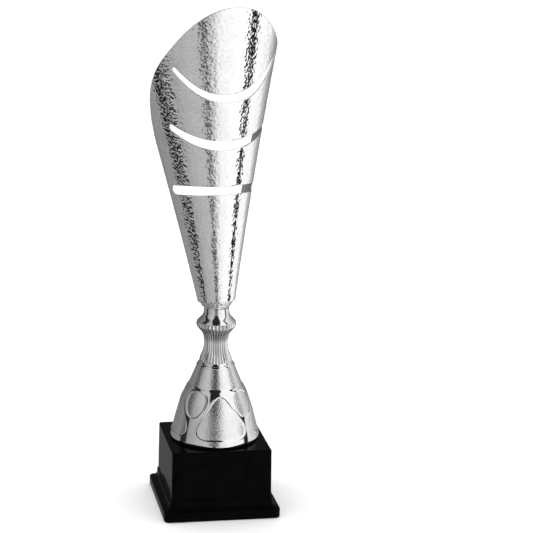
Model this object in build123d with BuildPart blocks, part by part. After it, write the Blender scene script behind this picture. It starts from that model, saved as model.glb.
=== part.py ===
from build123d import *
import math
import os

os.makedirs("parts", exist_ok=True)

# ---------------------------------------------------------------- driving dimensions (mm, degrees)
# Plinth: a square moulding, hollow from below, with a felt sheet under it.
felt_thickness = 1.2
felt_width = 77.0
felt_corner = 2.0
plinth_lift = 0.4            # the felt holds the plastic this far off the table
plinth_height = 51.8
block_top_width = 74.6
block_foot_width = 75.2      # the block widens a little downwards, as moulding draft
block_corner = 2.0
block_edge_round = 1.2
bead_top = 15.2
bead_height = 1.6
bead_width = 77.0
bead_corner = 2.8
cove_foot = 7.6
cove_width = 85.0
cove_corner = 3.6
cove_steps = 6
rim_height = 7.6
rim_width = 87.4
rim_corner = 4.0
rim_edge_round = 1.0
plinth_wall = 2.5
recess_width = 79.0
recess_depth = 3.2
recess_corner = 3.0
cavity_corner = 2.0
cover_gap = 0.1
boss_radius = 6.5
web_thickness = 1.6
web_depth = 9.0

# Clamp stack: M6 studding with washers and nuts.
rod_radius = 3.0
rod_foot = 4.2
rod_top = 182.0
rod_hole = 3.3
rod_chamfer = 0.6
nut_bore = 3.05
nut_across_flats = 10.0
nut_height = 5.0
washer_radius = 9.0
washer_thickness = 1.6
lock_washer_radius = 5.9
lock_split_width = 1.4
lock_split_length = 4.0
lock_split_centre = 4.9      # how far from the rod's axis the split's middle is
lock_split_turn = 20.0
cap_hex_height = 5.5
cap_height = 11.0
cap_dome_radius = 4.7
cap_bore_gap = 0.2           # past the end of the rod
ballast_foot = 13.0
ballast_top = 33.0
ballast_gap = 0.8
ballast_corner = 3.0
ballast_chamfer = 1.0

# Riser: bell, fluted stem, collar.
bell_wall = 2.0
bell_foot_radius = 32.4
bell_foot_round = (33.35, 53.0)   # a point of the rounded foot, (radius, height)
web_height = 5.0             # of the webs under the bell
bell_joint = 110.0
stem_joint = 142.6
tube_radius = 6.0
flute_count = 32
flute_width = 0.9
flute_depth = 0.45
flute_foot = 112.0
flute_top = 136.0
flute_overrun = 2.0          # the flute cutter is drawn this much past both ends
rib_count = 32
rib_radius = 1.2
rib_circle = 14.0
rib_height = 139.8
collar_top = 154.2
collar_radius = 9.4
petal_count = 4
petal_depth = 0.5
petal_start = 12.0           # petal cutters begin this far from the bell's axis
shell_reach = 2.0            # cutters stand this far out of the surface that they cut
bell_line = [                # (radius, height) up the outside of the bell
    (33.6, 55.0), (32.7, 59.5), (31.4, 64.5), (29.6, 71.5), (26.9, 80.5),
    (22.8, 90), (18.8, 99), (16.5, 104.5), (14.1, bell_joint),
]
stem_line = [                # (radius, height) up the outside of the fluted stem and its ring
    (13.9, bell_joint), (12.4, 113.4), (10.9, 116.9), (9.7, 120), (9.15, 123), (8.97, 126),
    (9.15, 129), (9.55, 131.3), (10.5, 133.6), (11.6, 135.2), (12.95, 136.7), (14.2, 138.2),
    (14.9, 139.7), (15.0, 141.2), (14.5, stem_joint),
]
collar_line = [              # (radius, height) up the outside of the collar
    (14.4, stem_joint), (13.0, 144.2), (11.5, 145.7), (10.3, 147.3), (9.65, 149.5), (collar_radius, 152),
]
# One side of each petal's outline, from its top to its foot: (sideways, height).
big_petal_side = [
    (4.4, 87.5), (7.0, 84.3), (9.6, 80.6), (12.4, 76.7), (15.0, 72.5), (17.3, 68.4),
    (18.4, 65), (18.4, 62.5), (17.3, 60.4), (14.4, 58.8), (8, 58.3),
]
big_petal_top = 89.9
big_petal_foot = 58.3
small_petal_side = [
    (4.2, 91.5), (7.0, 89.7), (8.4, 86.5), (8.4, 83), (7.6, 79.6), (6.0, 76.6), (3.6, 74.2),
]
small_petal_top = 92.3
small_petal_foot = 73.2

# Cup: a cone of sheet that leans to -X, measured along its own axis from cup_origin_height.
cup_origin_height = 155.4
cup_lean = 3.78
sheet_thickness = 0.8
cone_foot = 3.6
cone_top = 232.0
cone_base_radius = 13.47      # at the cup's origin
cone_flare = 0.1826          # radius gained per mm of height, at the cup's origin
cone_flare_growth = 0.0001286
ball_radius = 14.34          # the socket's rounded underside is part of this ball
ball_height = 9.0            # height of the ball's centre above the cup's origin
socket_wall = 1.0
socket_hole = 3.7
spigot_top = 9.6
insert_top = 171.0           # world height of the level seat for the upper washer
seat_gap = 0.05
insert_overrun = 3.0         # the insert is made this much too tall, then cut level

# Edge of the sheet: (degrees round the cone from the front, height along the cup's axis).
# It starts and ends at the foot of the opening, at the back.
sheet_edge_points = [
    (-180, 20), (-165, 22), (-147, 31), (-127, 55), (-110, 90), (-96, 119), (-83, 139.5),
    (-70, 160), (-52, 182), (-31, 201.5), (-10, 219), (4, 225.2), (20, 225.6), (36, 219),
    (52, 207.5), (70, 195), (84, 185.5), (95, 168), (104, 143), (112, 115), (118.5, 82),
    (128, 53), (147, 31), (165, 22), (180, 20),
]
# Slots: lower and upper edges, from the left end to the right end, in the same terms.
slot_edges = {
    "high": (
        [(-36, 184), (-18, 167.2), (7, 158.6), (40, 162.6), (68, 184.6)],
        [(-33.5, 187), (-16, 171.6), (10, 164.3), (37, 169.3), (66, 187.5)],
    ),
    "middle": (
        [(-50.5, 139.5), (-23, 127.8), (12, 122.7), (50, 126), (86, 131.5)],
        [(-48.5, 144.3), (-20, 134.3), (12, 130), (50, 132.3), (86, 138)],
    ),
    "low": (
        [(-72.3, 88.2), (-36, 89.4), (4, 89), (45, 87.5), (86, 84)],
        [(-72.3, 95.4), (-36, 96.9), (4, 95.8), (45, 94.1), (86, 91)],
    ),
}
sector_count = 8             # the sheet is cut square to its surface, one sector at a time
sector_overlap = 8.0         # degrees that each sector's cutters reach past its edges
fewest_points = 4            # a cutting line with fewer points than this is left out
edge_samples = 160
slot_samples = 40
cutter_reach = 90.0
cutter_top = 240.0


# ---------------------------------------------------------------- helpers
def save(part, name):
    """Label a finished piece and write its STEP file."""
    part.label = name
    export_step(part, f"parts/{name}.step")


def cone_radius(height):
    """Outer radius of the sheet cone at a height along the cup's axis."""
    return cone_base_radius + cone_flare * height + cone_flare_growth * height**2


def ball_point(radius, degrees):
    """Point of the socket's ball in the cup's front view, by its angle from straight down."""
    turn = math.radians(degrees)
    return (radius * math.sin(turn), ball_height - radius * math.cos(turn))


def hexagon_radius(across_flats):
    """Corner radius of a hexagon."""
    return across_flats / math.sqrt(3)


# The cup's front view: x across, y up the cup's axis, z towards the viewer.
lean = math.radians(cup_lean)
cup_front = Plane(
    origin=(0, 0, cup_origin_height),
    x_dir=(math.cos(lean), 0, math.sin(lean)),
    z_dir=(0, -1, 0),
)
cup_axis = Axis((0, 0, cup_origin_height), cup_front.y_dir)


def side_view(front, degrees):
    """The front view turned round its own upright axis, to face out at an angle from the front."""
    turn = math.radians(degrees)
    across = front.x_dir * math.cos(turn) - front.z_dir * math.sin(turn)
    outwards = front.x_dir * math.sin(turn) + front.z_dir * math.cos(turn)
    return Plane(origin=front.origin, x_dir=across, z_dir=outwards)


# ---------------------------------------------------------------- felt_pad
with BuildPart() as felt_pad:
    with BuildSketch(Plane.XY):
        RectangleRounded(felt_width, felt_width, felt_corner)
    extrude(amount=felt_thickness)
save(felt_pad.part, "felt_pad")

# ---------------------------------------------------------------- bottom_cover
cover_width = recess_width - 2 * cover_gap
cover_top = plinth_lift + recess_depth
with BuildPart() as bottom_cover:
    with BuildSketch(Plane.XY.offset(felt_thickness)):
        RectangleRounded(cover_width, cover_width, recess_corner)
    extrude(amount=cover_top - felt_thickness)
save(bottom_cover.part, "bottom_cover")

# ---------------------------------------------------------------- plinth_shell
bead_foot = bead_top - bead_height
block_ceiling = plinth_height - plinth_wall
cavity_width = block_top_width - 2 * plinth_wall
with BuildPart() as plinth_shell:
    # Block, with its draft and rounded top edge.
    with BuildSketch(Plane.XY.offset(bead_foot)):
        RectangleRounded(block_foot_width, block_foot_width, block_corner)
    with BuildSketch(Plane.XY.offset(plinth_height)):
        RectangleRounded(block_top_width, block_top_width, block_corner)
    loft(ruled=True)
    fillet(plinth_shell.faces().sort_by(Axis.Z)[-1].edges(), block_edge_round)
    # Bead round the foot of the block.
    with BuildSketch(Plane.XY.offset(bead_foot)):
        RectangleRounded(bead_width, bead_width, bead_corner)
    extrude(amount=bead_height)
    # Cove: a quarter hollow from the bead out to the rim.
    for step in range(cove_steps + 1):
        turn = math.radians(90 * step / cove_steps)
        height = cove_foot + (bead_foot - cove_foot) * (1 - math.sin(turn))
        width = bead_width + (cove_width - bead_width) * (1 - math.cos(turn))
        corner = bead_corner + (cove_corner - bead_corner) * step / cove_steps
        with BuildSketch(Plane.XY.offset(height)):
            RectangleRounded(width, width, corner)
    loft(ruled=True)
    # Rim.
    with BuildSketch(Plane.XY.offset(plinth_lift)):
        RectangleRounded(rim_width, rim_width, rim_corner)
    extrude(amount=rim_height - plinth_lift)
    rim_face = plinth_shell.faces().filter_by(Plane.XY).sort_by(Axis.Z)[1]
    fillet(rim_face.outer_wire().edges(), rim_edge_round)
    # Hollow, recess for the cover, boss and webs.
    with BuildSketch(Plane.XY.offset(plinth_lift)):
        RectangleRounded(recess_width, recess_width, recess_corner)
    extrude(amount=recess_depth, mode=Mode.SUBTRACT)
    with BuildSketch(Plane.XY.offset(cover_top)):
        RectangleRounded(cavity_width, cavity_width, cavity_corner)
    extrude(amount=block_ceiling - cover_top, mode=Mode.SUBTRACT)
    with BuildSketch(Plane.XY.offset(ballast_top)):
        Circle(boss_radius)
    extrude(amount=block_ceiling - ballast_top)
    with BuildSketch(Plane.XY.offset(block_ceiling - web_depth)):
        Rectangle(cavity_width, web_thickness)
        Rectangle(web_thickness, cavity_width)
    extrude(amount=web_depth)
    with BuildSketch(Plane.XY.offset(ballast_top)):
        Circle(rod_hole)
    extrude(amount=plinth_height - ballast_top, mode=Mode.SUBTRACT)
save(plinth_shell.part, "plinth_shell")

# ---------------------------------------------------------------- ballast_block
ballast_width = cavity_width - 2 * ballast_gap
with BuildPart() as ballast_block:
    with BuildSketch(Plane.XY.offset(ballast_foot)):
        RectangleRounded(ballast_width, ballast_width, ballast_corner)
        Circle(rod_hole, mode=Mode.SUBTRACT)
    extrude(amount=ballast_top - ballast_foot)
    chamfer(ballast_block.faces().sort_by(Axis.Z)[0].outer_wire().edges(), ballast_chamfer)
save(ballast_block.part, "ballast_block")

# ---------------------------------------------------------------- tie_rod
with BuildPart() as tie_rod:
    with BuildSketch(Plane.XY.offset(rod_foot)):
        Circle(rod_radius)
    extrude(amount=rod_top - rod_foot)
    chamfer(tie_rod.edges().filter_by(GeomType.CIRCLE), rod_chamfer)
save(tie_rod.part, "tie_rod")


# ---------------------------------------------------------------- washers and nuts
def washer(foot):
    """Wide flat washer, foot at the given height."""
    with BuildPart() as ring:
        with BuildSketch(Plane.XY.offset(foot)):
            Circle(washer_radius)
            Circle(rod_hole, mode=Mode.SUBTRACT)
        extrude(amount=washer_thickness)
    return ring.part


def lock_washer(foot):
    """Split spring washer."""
    with BuildPart() as ring:
        with BuildSketch(Plane.XY.offset(foot)):
            Circle(lock_washer_radius)
            Circle(rod_hole, mode=Mode.SUBTRACT)
            with Locations((lock_split_centre, 0)):
                Rectangle(lock_split_length, lock_split_width, rotation=lock_split_turn, mode=Mode.SUBTRACT)
        extrude(amount=washer_thickness)
    return ring.part


lower_washer_foot = ballast_foot - washer_thickness
lower_lock_foot = lower_washer_foot - washer_thickness
lower_nut_foot = lower_lock_foot - nut_height
upper_lock_foot = insert_top + washer_thickness
cap_foot = upper_lock_foot + washer_thickness
save(washer(lower_washer_foot), "lower_washer")
save(lock_washer(lower_lock_foot), "lower_lock_washer")
save(washer(insert_top), "upper_washer")
save(lock_washer(upper_lock_foot), "upper_lock_washer")

with BuildPart() as lower_nut:
    with BuildSketch(Plane.XY.offset(lower_nut_foot)):
        RegularPolygon(hexagon_radius(nut_across_flats), 6)
        Circle(nut_bore, mode=Mode.SUBTRACT)
    extrude(amount=nut_height)
save(lower_nut.part, "lower_nut")

with BuildPart() as cap_nut:
    with BuildSketch(Plane.XY.offset(cap_foot)):
        RegularPolygon(hexagon_radius(nut_across_flats), 6)
    extrude(amount=cap_hex_height)
    with BuildSketch(Plane.XZ):
        with BuildLine():
            shoulder = cap_foot + cap_height - cap_dome_radius
            Polyline(
                (0, cap_foot + cap_height), (0, cap_foot), (cap_dome_radius, cap_foot),
                (cap_dome_radius, shoulder),
            )
            half_quarter = math.radians(45)
            ThreePointArc(
                (cap_dome_radius, shoulder),
                (
                    cap_dome_radius * math.cos(half_quarter),
                    shoulder + cap_dome_radius * math.sin(half_quarter),
                ),
                (0, cap_foot + cap_height),
            )
        make_face()
    revolve(axis=Axis.Z)
    with BuildSketch(Plane.XY.offset(cap_foot)):
        Circle(nut_bore)
    extrude(amount=rod_top - cap_foot + cap_bore_gap, mode=Mode.SUBTRACT)
save(cap_nut.part, "cap_nut")

# ---------------------------------------------------------------- bell_riser


def whole_petal(top, side, foot):
    """A petal's closed outline, from one side of it."""
    other_side = [(-sideways, height) for sideways, height in reversed(side)]
    return [(0, top), *side, (0, foot), *other_side]


def skin_lines(line, depth):
    """Lines round the layer from depth below a turned surface to shell_reach outside it."""
    inside = [(radius - depth, height) for radius, height in line]
    outside = [(radius + shell_reach, height) for radius, height in line]
    Spline(*inside)
    Spline(*outside)
    Line(inside[0], outside[0])
    Line(inside[-1], outside[-1])


big_petal = whole_petal(big_petal_top, big_petal_side, big_petal_foot)
small_petal = whole_petal(small_petal_top, small_petal_side, small_petal_foot)
petal_turn = 360 / petal_count

with BuildPart() as petal_skin:
    with BuildSketch(Plane.XZ):
        with BuildLine():
            skin_lines(bell_line, petal_depth)
        make_face()
    revolve(axis=Axis.Z)


def petal_cutter(turn, outline):
    """The layer of the bell's surface inside one petal's outline."""
    with BuildPart() as petal:
        with BuildSketch(side_view(Plane.XZ, turn).offset(petal_start)):
            with BuildLine():
                Spline(*outline, periodic=True)
            make_face()
        extrude(amount=cutter_reach)
        add(petal_skin.part, mode=Mode.INTERSECT)
    return petal.part


inner_foot_radius = bell_foot_radius - bell_wall
inner_line = [(radius - bell_wall, height) for radius, height in bell_line[1:-1]]
bell_ceiling = inner_line[-1][1]
with BuildPart() as bell_riser:
    with BuildSketch(Plane.XZ):
        with BuildLine():
            Spline(*bell_line)
            ThreePointArc(bell_line[0], bell_foot_round, (bell_foot_radius, plinth_height))
            Line((bell_foot_radius, plinth_height), (inner_foot_radius, plinth_height))
            Spline((inner_foot_radius, plinth_height), *inner_line)
            Polyline(inner_line[-1], (rod_hole, bell_ceiling), (rod_hole, bell_joint), bell_line[-1])
        make_face()
    revolve(axis=Axis.Z)
    # Centre tube for the rod, with four webs.
    with BuildSketch(Plane.XY.offset(plinth_height)):
        Circle(tube_radius)
        Rectangle(2 * inner_foot_radius, web_thickness)
        Rectangle(web_thickness, 2 * inner_foot_radius)
    extrude(amount=web_height)
    with BuildSketch(Plane.XY.offset(plinth_height)):
        Circle(tube_radius)
    extrude(amount=bell_ceiling - plinth_height)
    with BuildSketch(Plane.XY.offset(plinth_height)):
        Circle(rod_hole)
    extrude(amount=bell_joint - plinth_height, mode=Mode.SUBTRACT)
    for index in range(petal_count):
        add(petal_cutter(index * petal_turn, big_petal), mode=Mode.SUBTRACT)
        add(petal_cutter((index + 0.5) * petal_turn, small_petal), mode=Mode.SUBTRACT)
save(bell_riser.part, "bell_riser")

# ---------------------------------------------------------------- fluted_stem
fluted_line = [point for point in stem_line if point[1] < flute_top + flute_overrun]
with BuildPart() as flute:
    with BuildSketch(Plane.XZ):
        with BuildLine():
            skin_lines(fluted_line, flute_depth)
        make_face()
    extrude(amount=flute_width / 2, both=True)
    with BuildSketch(Plane.XY.offset(flute_foot)):
        Circle(cutter_reach)
    extrude(amount=flute_top - flute_foot, mode=Mode.INTERSECT)

with BuildPart() as fluted_stem:
    with BuildSketch(Plane.XZ):
        with BuildLine():
            Spline(*stem_line)
            Polyline(stem_line[-1], (rod_hole, stem_joint), (rod_hole, bell_joint), stem_line[0])
        make_face()
    revolve(axis=Axis.Z)
    with PolarLocations(0, flute_count):
        add(flute.part, mode=Mode.SUBTRACT)
    with BuildSketch(Plane.XY.offset(rib_height - rib_radius)):
        with PolarLocations(rib_circle, rib_count):
            Circle(rib_radius)
    extrude(amount=2 * rib_radius)
save(fluted_stem.part, "fluted_stem")

# ---------------------------------------------------------------- neck_collar
ball_centre = cup_front.from_local_coords((0, ball_height, 0))
with BuildPart() as neck_collar:
    with BuildSketch(Plane.XZ):
        with BuildLine():
            Spline(*collar_line)
            Polyline(
                collar_line[-1],
                (collar_radius, collar_top),
                (rod_hole, collar_top),
                (rod_hole, stem_joint),
                collar_line[0],
            )
        make_face()
    revolve(axis=Axis.Z)
    with Locations(ball_centre):
        Sphere(ball_radius, mode=Mode.SUBTRACT)
save(neck_collar.part, "neck_collar")

# ---------------------------------------------------------------- cup_socket
spigot_outside = cone_radius(spigot_top) - sheet_thickness - seat_gap
spigot_inside = spigot_outside - socket_wall
rim_angle = math.degrees(math.acos((ball_height - cone_foot) / ball_radius))


def ball_arc(radius):
    """Arc of the socket's ball from straight down up to the sheet's foot."""
    points = [ball_point(radius, degrees) for degrees in (0, rim_angle / 2, rim_angle)]
    return ThreePointArc(*points)


with BuildPart() as cup_socket:
    with BuildSketch(cup_front):
        with BuildLine():
            outer_arc = ball_arc(ball_radius)
            inner_arc = ball_arc(ball_radius - socket_wall)
            Polyline(
                outer_arc @ 1,
                (spigot_outside, spigot_top),
                (spigot_inside, spigot_top),
                inner_arc @ 1,
            )
            Line(outer_arc @ 0, inner_arc @ 0)
        make_face()
    revolve(axis=cup_axis)
    with BuildSketch(Plane.XY.offset(cup_origin_height - ball_radius)):
        Circle(socket_hole)
    extrude(amount=ball_radius, mode=Mode.SUBTRACT)
save(cup_socket.part, "cup_socket")

# ---------------------------------------------------------------- cup_insert
insert_reach = insert_top - cup_origin_height + insert_overrun
with BuildPart() as cup_insert:
    with BuildSketch(cup_front):
        with BuildLine():
            seat_arc = ball_arc(ball_radius - socket_wall - seat_gap)
            Polyline(
                seat_arc @ 1,
                (spigot_inside - seat_gap, spigot_top + seat_gap),
                (spigot_outside, spigot_top + seat_gap),
                (cone_radius(insert_reach) - sheet_thickness - seat_gap, insert_reach),
                (0, insert_reach),
                seat_arc @ 0,
            )
        make_face()
    revolve(axis=cup_axis)
    split(bisect_by=Plane.XY.offset(insert_top), keep=Keep.BOTTOM)
    with BuildSketch(Plane.XY.offset(cup_origin_height - ball_radius)):
        Circle(rod_hole)
    extrude(amount=2 * ball_radius + insert_reach, mode=Mode.SUBTRACT)
save(cup_insert.part, "cup_insert")


# ---------------------------------------------------------------- cone_sheet
def sample(points, count):
    """Evenly spaced points of a smooth line drawn on the unrolled cone."""
    with BuildLine() as line:
        Spline(*points)
    return [line.line @ (index / count) for index in range(count + 1)]


def in_sector(points, facing):
    """The part of an unrolled line that one sector can see, in order, as turns from its middle."""
    seen = {}
    for point in points:
        turn = (point.X - facing + 180) % 360 - 180
        if abs(turn) <= sector_reach:
            seen[round(turn, 2)] = point.Y
    return [(turn, seen[turn]) for turn in sorted(seen)]


def as_seen(unrolled):
    """A point of the unrolled cone, in the view of the sector that it is measured from."""
    turn, height = unrolled
    return (cone_radius(height) * math.sin(math.radians(turn)), height)


def cutter(facing, lower, upper):
    """Solid that cuts one sector of the sheet between two unrolled lines."""
    lower = [as_seen(point) for point in lower]
    upper = [as_seen(point) for point in upper]
    with BuildPart() as tool:
        with BuildSketch(side_view(cup_front, facing)):
            with BuildLine():
                Spline(*lower)
                Spline(*upper)
                Line(lower[0], upper[0])
                Line(lower[-1], upper[-1])
            make_face()
        extrude(amount=cutter_reach)
    return tool.part


def sector_of_cone(facing):
    """One sector of the plain cone, before it is cut."""
    middle = (cone_foot + cone_top) / 2
    with BuildPart() as sector:
        with BuildSketch(side_view(cup_front, facing - sector_angle / 2 - 90)):
            with BuildLine():
                outside = ThreePointArc(
                    (cone_radius(cone_foot), cone_foot),
                    (cone_radius(middle), middle),
                    (cone_radius(cone_top), cone_top),
                )
                inside = ThreePointArc(
                    (cone_radius(cone_foot) - sheet_thickness, cone_foot),
                    (cone_radius(middle) - sheet_thickness, middle),
                    (cone_radius(cone_top) - sheet_thickness, cone_top),
                )
                Line(outside @ 0, inside @ 0)
                Line(outside @ 1, inside @ 1)
            make_face()
        revolve(axis=cup_axis, revolution_arc=sector_angle)
    return sector.part


sector_angle = 360 / sector_count
sector_reach = 0.5 * sector_angle + sector_overlap
edge_line = sample(sheet_edge_points, edge_samples)
slot_lines = [[sample(line, slot_samples) for line in edges] for edges in slot_edges.values()]
sectors = []
for index in range(sector_count):
    facing = index * sector_angle
    edge_seen = in_sector(edge_line, facing)
    top = [(turn, cutter_top) for turn in (-sector_reach, 0, sector_reach)]
    cutters = [cutter(facing, edge_seen, top)]
    for lower_line, upper_line in slot_lines:
        lower_seen = in_sector(lower_line, facing)
        upper_seen = in_sector(upper_line, facing)
        if min(len(lower_seen), len(upper_seen)) >= fewest_points:
            cutters.append(cutter(facing, lower_seen, upper_seen))
    with BuildPart() as sector:
        add(sector_of_cone(facing))
        for tool in cutters:
            add(tool, mode=Mode.SUBTRACT)
    sectors.append(sector.part)

with BuildPart() as cone_sheet:
    for piece in sectors:
        add(piece)
save(cone_sheet.part, "cone_sheet")
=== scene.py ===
import math

import bpy
import numpy as np
from mathutils import Matrix, Vector, kdtree, noise
from mathutils.geometry import delaunay_2d_cdt


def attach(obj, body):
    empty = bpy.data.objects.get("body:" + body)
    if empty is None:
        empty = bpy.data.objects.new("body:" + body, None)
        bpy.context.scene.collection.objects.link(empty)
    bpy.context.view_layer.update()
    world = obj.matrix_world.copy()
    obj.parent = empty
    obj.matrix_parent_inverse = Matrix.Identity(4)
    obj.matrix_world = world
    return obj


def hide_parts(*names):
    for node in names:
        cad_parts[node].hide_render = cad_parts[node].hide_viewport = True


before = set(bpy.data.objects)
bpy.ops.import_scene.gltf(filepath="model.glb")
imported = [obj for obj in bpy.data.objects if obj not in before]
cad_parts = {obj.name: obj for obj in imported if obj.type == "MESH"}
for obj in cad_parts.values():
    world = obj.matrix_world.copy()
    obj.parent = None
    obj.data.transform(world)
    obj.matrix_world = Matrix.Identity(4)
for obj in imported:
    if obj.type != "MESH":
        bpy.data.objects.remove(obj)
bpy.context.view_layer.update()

MM = 0.001                   # every size below is in millimetres, as in the CAD
BODY = "root"

# ---------------------------------------------------------------- dimensions shared with the CAD
plinth_lift = 0.4
plinth_height = 51.8
plinth_wall = 2.5
block_top_width = 74.6
block_corner = 2.0
block_edge_round = 1.2
bead_top = 15.2
bead_height = 1.6
bead_width = 77.0
bead_corner = 2.8
cove_foot = 7.6
cove_width = 85.0
cove_corner = 3.6
rim_width = 87.4
rim_corner = 4.0
rim_edge_round = 1.0
recess_width = 79.0
recess_depth = 3.2
recess_corner = 3.0
cavity_corner = 2.0
boss_radius = 6.5
ballast_top = 33.0
bell_joint = 110.0
bell_wall = 2.0
tube_radius = 6.0
stem_joint = 142.6
rod_hole = 3.3
flute_count = 32
rib_count = 32
petal_count = 4
cup_origin_height = 155.4
cup_lean = math.radians(3.78)
sheet_thickness = 0.8
cone_foot = 3.6
cone_base_radius = 13.47     # at the cup's origin
cone_flare = 0.1826          # radius gained per mm of height, at the cup's origin
cone_flare_growth = 0.0001286
socket_wall = 1.0
seat_gap = 0.05
ball_radius = 14.34
ball_height = 9.0
spigot_top = 9.6

bell_foot_radius = 32.4
bell_foot_round = (33.35, 53.0)
bell_line = [
    (33.6, 55.0), (32.7, 59.5), (31.4, 64.5), (29.6, 71.5), (26.9, 80.5),
    (22.8, 90), (18.8, 99), (16.5, 104.5), (14.1, bell_joint),
]
stem_line = [
    (13.9, bell_joint), (12.4, 113.4), (10.9, 116.9), (9.7, 120), (9.15, 123), (8.97, 126),
    (9.15, 129), (9.55, 131.3), (10.5, 133.6), (11.6, 135.2), (12.95, 136.7), (14.2, 138.2),
    (14.9, 139.7), (15.0, 141.2), (14.5, stem_joint),
]
collar_line = [
    (14.4, stem_joint), (13.0, 144.2), (11.5, 145.7), (10.3, 147.3), (9.65, 149.5), (9.4, 152),
]
big_petal = [
    (0, 89.9), (4.4, 87.5), (7.0, 84.3), (9.6, 80.6), (12.4, 76.7), (15.0, 72.5), (17.3, 68.4),
    (18.4, 65), (18.4, 62.5), (17.3, 60.4), (14.4, 58.8), (8, 58.3), (0, 58.3),
]
small_petal = [
    (0, 92.3), (4.2, 91.5), (7.0, 89.7), (8.4, 86.5), (8.4, 83), (7.6, 79.6), (6.0, 76.6),
    (3.6, 74.2), (0, 73.2),
]
sheet_edge_points = [
    (-180, 20), (-165, 22), (-147, 31), (-127, 55), (-110, 90), (-96, 119), (-83, 139.5),
    (-70, 160), (-52, 182), (-31, 201.5), (-10, 219), (4, 225.2), (20, 225.6), (36, 219),
    (52, 207.5), (70, 195), (84, 185.5), (95, 168), (104, 143), (112, 115), (118.5, 82),
    (128, 53), (147, 31), (165, 22), (180, 20),
]
slot_edges = [
    (
        [(-36, 184), (-18, 167.2), (7, 158.6), (40, 162.6), (68, 184.6)],
        [(-33.5, 187), (-16, 171.6), (10, 164.3), (37, 169.3), (66, 187.5)],
    ),
    (
        [(-50.5, 139.5), (-23, 127.8), (12, 122.7), (50, 126), (86, 131.5)],
        [(-48.5, 144.3), (-20, 134.3), (12, 130), (50, 132.3), (86, 138)],
    ),
    (
        [(-72.3, 88.2), (-36, 89.4), (4, 89), (45, 87.5), (86, 84)],
        [(-72.3, 95.4), (-36, 96.9), (4, 95.8), (45, 94.1), (86, 91)],
    ),
]


# ---------------------------------------------------------------- small maths
def smoothstep(low, high, x):
    """0 at low, 1 at high, smooth between and level beyond. low may be the larger number."""
    t = np.clip((np.asarray(x, float) - low) / (high - low), 0, 1)
    return t * t * (3 - 2 * t)


def spline(points, count, closed=False):
    """Even samples of a smooth cubic curve through the points, closed or open."""
    p = np.array(points, float)
    if closed:
        p = np.vstack([p[-4:], p, p[:5]])
    step = np.linalg.norm(np.diff(p, axis=0), axis=1)
    t = np.concatenate([[0], np.cumsum(step)])
    n = len(p)
    system = np.eye(n)
    right = np.zeros_like(p)
    for i in range(1, n - 1):
        system[i, i - 1 : i + 2] = [step[i - 1], 2 * (step[i - 1] + step[i]), step[i]]
        right[i] = 6 * ((p[i + 1] - p[i]) / step[i] - (p[i] - p[i - 1]) / step[i - 1])
    bend = np.linalg.solve(system, right)
    first, last = (t[4], t[n - 5]) if closed else (t[0], t[-1])
    at = np.linspace(first, last, count, endpoint=not closed)
    k = np.clip(np.searchsorted(t, at, side="right") - 1, 0, n - 2)
    h = step[k][:, None]
    a = (t[k + 1] - at)[:, None] / h
    b = 1 - a
    return a * p[k] + b * p[k + 1] + ((a**3 - a) * bend[k] + (b**3 - b) * bend[k + 1]) * h * h / 6


def resample(line, spacing, closed=False):
    """Points along a polyline at an even spacing."""
    p = np.array(line, float)
    if closed:
        p = np.vstack([p, p[:1]])
    along = np.concatenate([[0], np.cumsum(np.linalg.norm(np.diff(p, axis=0), axis=1))])
    count = max(3, round(along[-1] / spacing))
    at = np.linspace(0, along[-1], count + 1)
    out = np.stack([np.interp(at, along, p[:, i]) for i in range(p.shape[1])], 1)
    return out[:-1] if closed else out


def signed_distance(points, outline):
    """Distance from each point to a closed outline, negative inside."""
    a = np.array(outline, float)
    b = np.roll(a, -1, axis=0)
    best = np.full(len(points), 1e9)
    inside = np.zeros(len(points), bool)
    for p, q in zip(a, b):
        d = q - p
        w = points - p
        t = np.clip(w @ d / (d @ d), 0, 1)
        best = np.minimum(best, np.linalg.norm(w - t[:, None] * d, axis=1))
        crosses = (p[1] <= points[:, 1]) != (q[1] <= points[:, 1])
        rise = d[1] if d[1] else 1e-12
        inside ^= crosses & (points[:, 0] < p[0] + (points[:, 1] - p[1]) / rise * d[0])
    return np.where(inside, -best, best)


def wander(points, size, seed):
    """Smooth noise between -1 and 1 at each point."""
    shift = Vector((seed * 17.3, seed * 5.1, seed * 9.7))
    return np.array([noise.noise(Vector(p) / size + shift) for p in points])


# ---------------------------------------------------------------- meshes
def make_piece(name, points, faces, material, node, values=None):
    """A smooth mesh in the CAD's frame that stands for one CAD node. values are numbers per point."""
    mesh = bpy.data.meshes.new(name)
    mesh.from_pydata((np.asarray(points) * MM).tolist(), [], faces)
    mesh.validate()
    mesh.polygons.foreach_set("use_smooth", [True] * len(mesh.polygons))
    for key, data in (values or {}).items():
        attribute = mesh.attributes.new(key, "FLOAT", "POINT")
        attribute.data.foreach_set("value", np.asarray(data, np.float32))
    mesh.materials.append(material)
    mesh.update()
    piece = bpy.data.objects.new(name, mesh)
    bpy.context.scene.collection.objects.link(piece)
    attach(piece, BODY)
    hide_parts(node)
    return piece


def ring_faces(rows, columns):
    """Quads between rings of points, row by row. The last row joins the first."""
    i, j = np.arange(rows)[:, None], np.arange(columns)[None, :]
    i_next, j_next = (i + 1) % rows, (j + 1) % columns
    corners = [i * columns + j, i * columns + j_next, i_next * columns + j_next, i_next * columns + j]
    return np.stack([corner.ravel() for corner in corners], 1).tolist()


def turned(profile, columns):
    """Angle, radius and height of every point of a turned shape, from a closed profile."""
    profile = np.array(profile, float)
    turn = np.linspace(0, 2 * math.pi, columns, endpoint=False)
    angle = np.tile(turn, len(profile))
    radius = np.repeat(profile[:, 0], columns)
    height = np.repeat(profile[:, 1], columns)
    return angle, radius, height


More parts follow.
